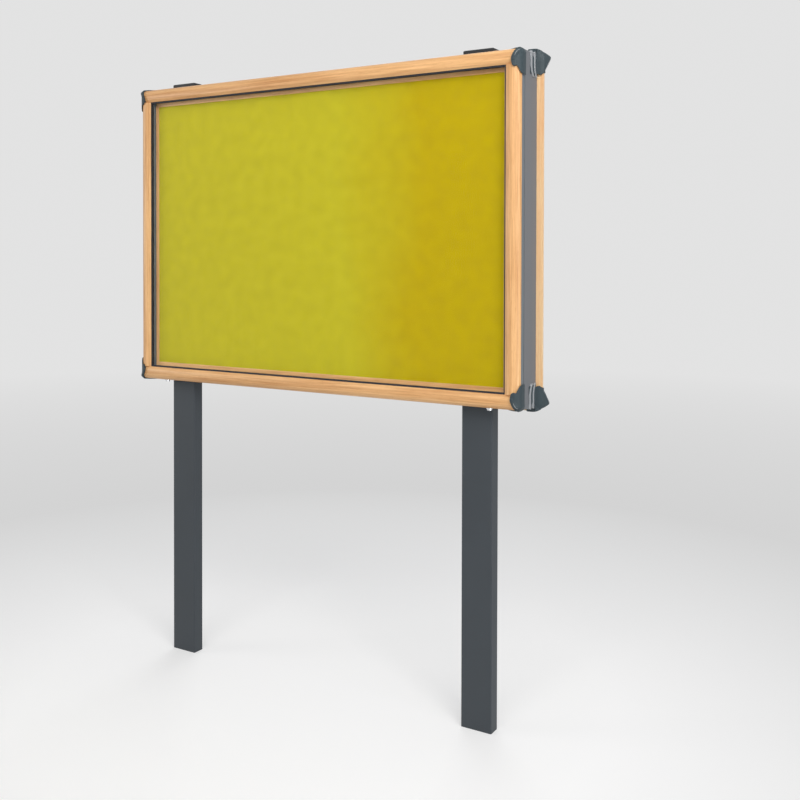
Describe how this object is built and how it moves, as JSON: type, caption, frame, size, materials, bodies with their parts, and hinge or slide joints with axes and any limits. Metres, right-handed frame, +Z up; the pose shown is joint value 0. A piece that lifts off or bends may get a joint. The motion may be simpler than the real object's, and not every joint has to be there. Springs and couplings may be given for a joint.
{
  "type": "lockable notice board",
  "caption": "Landscape notice board on two posts, with a top-hung glazed door held by gas struts, key locks along its lower edge and a felt pinboard inside.",
  "frame": {"origin": "midway between the feet of the two posts, on the ground", "axes": "+Z up along the posts, -Y towards the reader, +X to the reader's right"},
  "size_m": [1.456, 0.1616, 1.912],
  "materials": {
    "wood_effect": "light oak grain under a satin weatherproof lacquer",
    "grey_case": "satin grey anodised",
    "post_coat": "fine-textured dark grey powder coat",
    "post_cap": "matt black moulding",
    "moulding": "slate grey moulding with a light texture",
    "gasket": "black extruded rubber",
    "glass": "clear safety glazing",
    "felt": "mustard green felt",
    "board_core": "raw fibreboard",
    "zinc_steel": "zinc plated",
    "hinge_steel": "stainless",
    "chrome": "polished chrome",
    "strut_black": "black enamel",
    "strut_rod": "hard chrome"
  },
  "bodies": {
    "case": {"left_post": "post_coat", "right_post": "post_coat", "left_post_cap": "post_cap", "right_post_cap": "post_cap", "case_left_side": "grey_case", "case_right_side": "grey_case", "case_top_rail": "grey_case", "case_bottom_rail": "grey_case", "left_upper_bracket": "zinc_steel", "left_lower_bracket": "zinc_steel", "right_upper_bracket": "zinc_steel", "right_lower_bracket": "zinc_steel", "upper_cross_rail": "zinc_steel", "lower_cross_rail": "zinc_steel", "pinboard_core": "board_core", "pinboard_felt": "felt", "pinboard_bead": "wood_effect", "rear_top_rail": "wood_effect", "rear_bottom_rail": "wood_effect", "rear_left_stile": "wood_effect", "rear_right_stile": "wood_effect", "back_panel": "grey_case", "hinge_case_leaf": "hinge_steel", "hinge_pin": "hinge_steel", "left_keeper": "zinc_steel", "right_keeper": "zinc_steel", "left_case_stud": "zinc_steel", "right_case_stud": "zinc_steel", "rear_cap_top_left": "moulding", "rear_cap_top_right": "moulding", "rear_cap_bottom_left": "moulding", "rear_cap_bottom_right": "moulding"},
    "door": {"door_top_rail": "wood_effect", "door_bottom_rail": "wood_effect", "door_left_stile": "wood_effect", "door_right_stile": "wood_effect", "carrier_top": "grey_case", "carrier_bottom": "grey_case", "carrier_left": "grey_case", "carrier_right": "grey_case", "glazing": "glass", "glazing_gasket": "gasket", "weather_seal": "gasket", "hinge_door_leaf": "hinge_steel", "left_door_stud": "zinc_steel", "right_door_stud": "zinc_steel", "left_lock_barrel": "chrome", "right_lock_barrel": "chrome", "door_cap_top_left": "moulding", "door_cap_top_right": "moulding", "door_cap_bottom_left": "moulding", "door_cap_bottom_right": "moulding"},
    "left_lock": {"left_lock_plug": "chrome", "left_lock_cam": "zinc_steel"},
    "right_lock": {"right_lock_plug": "chrome", "right_lock_cam": "zinc_steel"},
    "left_cylinder": {"left_strut_cylinder": "strut_black"},
    "right_cylinder": {"right_strut_cylinder": "strut_black"},
    "left_rod": {"left_strut_rod": "strut_rod"},
    "right_rod": {"right_strut_rod": "strut_rod"}
  },
  "joints": [
    {"name": "door_hinge", "type": "hinge", "parent": "case", "child": "door", "pos_m": [0, -0.0345, 1.8952], "axis": [-1, 0, 0], "range_deg": [0, 75]},
    {"name": "left_lock_turn", "type": "hinge", "parent": "door", "child": "left_lock", "pos_m": [-0.602, -0.0441, 0.918], "axis": [0, 0, 1], "range_deg": [0, 90]},
    {"name": "right_lock_turn", "type": "hinge", "parent": "door", "child": "right_lock", "pos_m": [0.602, -0.0441, 0.918], "axis": [0, 0, -1], "range_deg": [0, 90]},
    {"name": "left_strut_swing", "type": "hinge", "parent": "case", "child": "left_cylinder", "pos_m": [-0.672, 0.0105, 1.8712], "axis": [-1, 0, 0], "range_deg": [0, 70.47]},
    {"name": "left_rod_slide", "type": "slide", "parent": "left_cylinder", "child": "left_rod", "axis": [0, -0.1489, -0.9888], "range_m": [0, 0.0603]},
    {"name": "right_strut_swing", "type": "hinge", "parent": "case", "child": "right_cylinder", "pos_m": [0.672, 0.0105, 1.8712], "axis": [-1, 0, 0], "range_deg": [0, 70.47]},
    {"name": "right_rod_slide", "type": "slide", "parent": "right_cylinder", "child": "right_rod", "axis": [0, -0.1489, -0.9888], "range_m": [0, 0.0603]}
  ],
  "couplings": [
    {"joint": "left_strut_swing", "follows": "door_hinge", "ratio": 0.93558},
    {"joint": "left_rod_slide", "follows": "door_hinge", "m_per_rad": 0.045735},
    {"joint": "right_strut_swing", "follows": "door_hinge", "ratio": 0.93558},
    {"joint": "right_rod_slide", "follows": "door_hinge", "m_per_rad": 0.045735}
  ]
}
